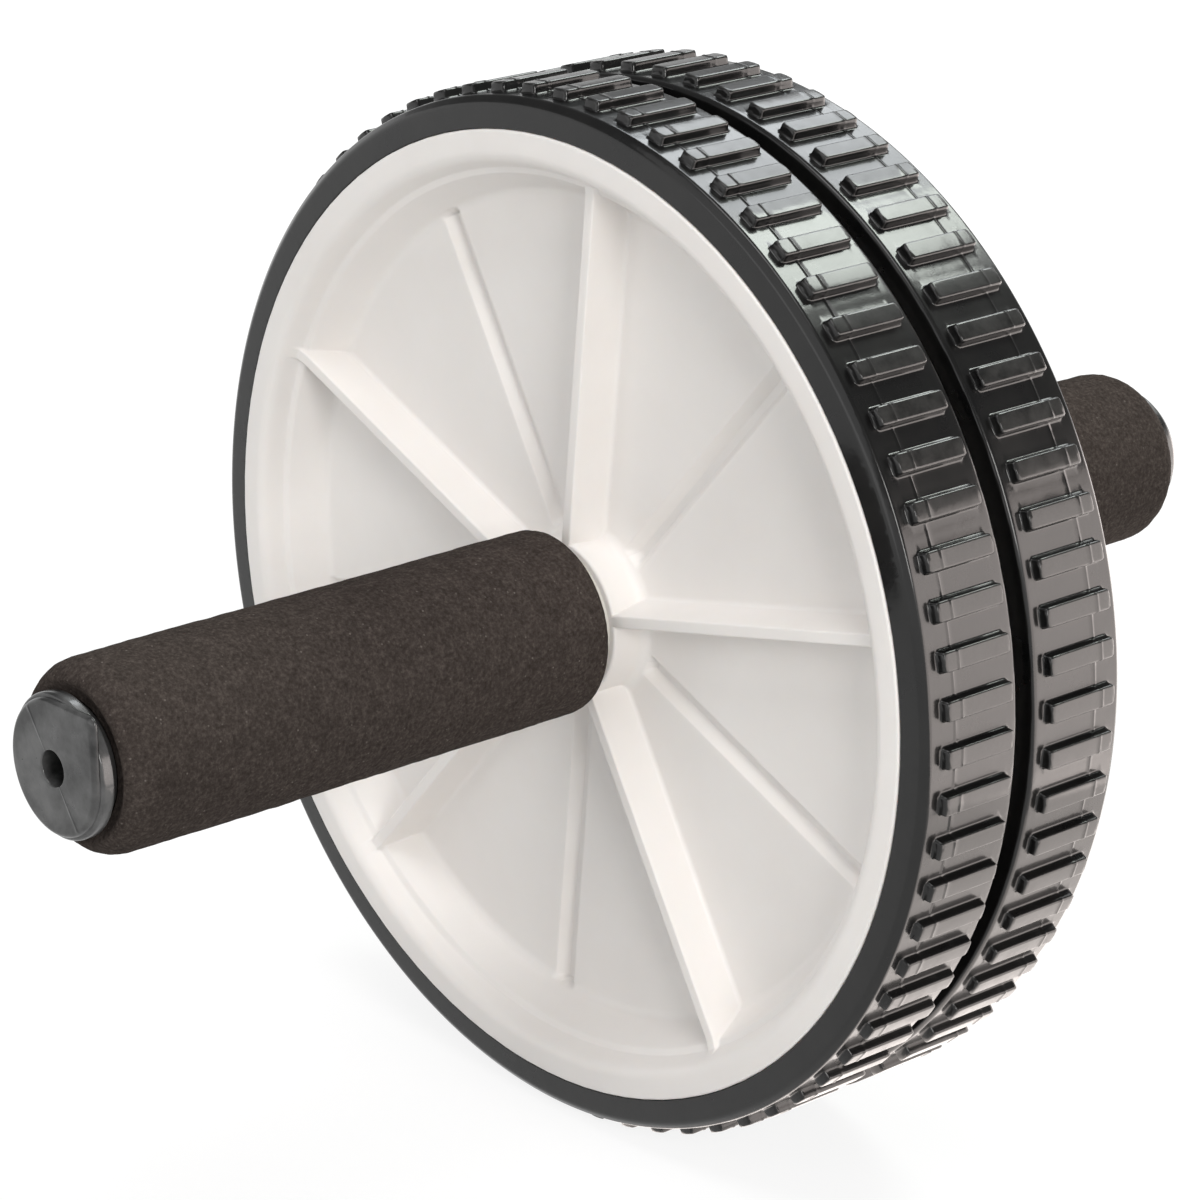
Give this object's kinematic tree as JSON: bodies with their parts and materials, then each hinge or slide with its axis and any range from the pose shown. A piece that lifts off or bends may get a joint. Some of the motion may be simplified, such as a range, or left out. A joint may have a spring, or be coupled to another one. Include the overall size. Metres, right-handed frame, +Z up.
{
  "type": "ab wheel roller",
  "caption": "Ab wheel roller: ribbed white plastic wheels with lugged black tyres spin freely on a steel axle between foam-covered handles with black end caps.",
  "frame": {"origin": "middle of the axle, on the plane between the wheels", "axes": "+Y along the axle towards the left wheel, +Z up"},
  "size_m": [0.18, 0.2444, 0.18],
  "materials": {
    "white_plastic": "satin",
    "black_tyre": "satin",
    "bush_plastic": "satin",
    "bright_steel": "satin",
    "black_plastic": "satin",
    "foam": "matte",
    "black_gloss": "gloss"
  },
  "bodies": {
    "handlebar": {"axle_rod": "bright_steel", "centre_spacer": "black_plastic", "right_thrust_washer": "bright_steel", "right_handle_core": "black_plastic", "right_foam_grip": "foam", "right_end_cap": "black_gloss", "right_screw_washer": "bright_steel", "right_clamp_screw": "bright_steel", "left_thrust_washer": "bright_steel", "left_handle_core": "black_plastic", "left_foam_grip": "foam", "left_end_cap": "black_gloss", "left_screw_washer": "bright_steel", "left_clamp_screw": "bright_steel"},
    "right_wheel_set": {"right_wheel": "white_plastic", "right_tyre": "black_tyre", "right_inner_bush": "bush_plastic", "right_outer_bush": "bush_plastic"},
    "left_wheel_set": {"left_wheel": "white_plastic", "left_tyre": "black_tyre", "left_inner_bush": "bush_plastic", "left_outer_bush": "bush_plastic"}
  },
  "joints": [
    {"name": "right_wheel_spin", "type": "hinge", "parent": "handlebar", "child": "right_wheel_set", "pos_m": [0, 0, 0], "axis": [0, 1, 0], "continuous": true},
    {"name": "left_wheel_spin", "type": "hinge", "parent": "handlebar", "child": "left_wheel_set", "pos_m": [0, 0, 0], "axis": [0, 1, 0], "continuous": true}
  ]
}
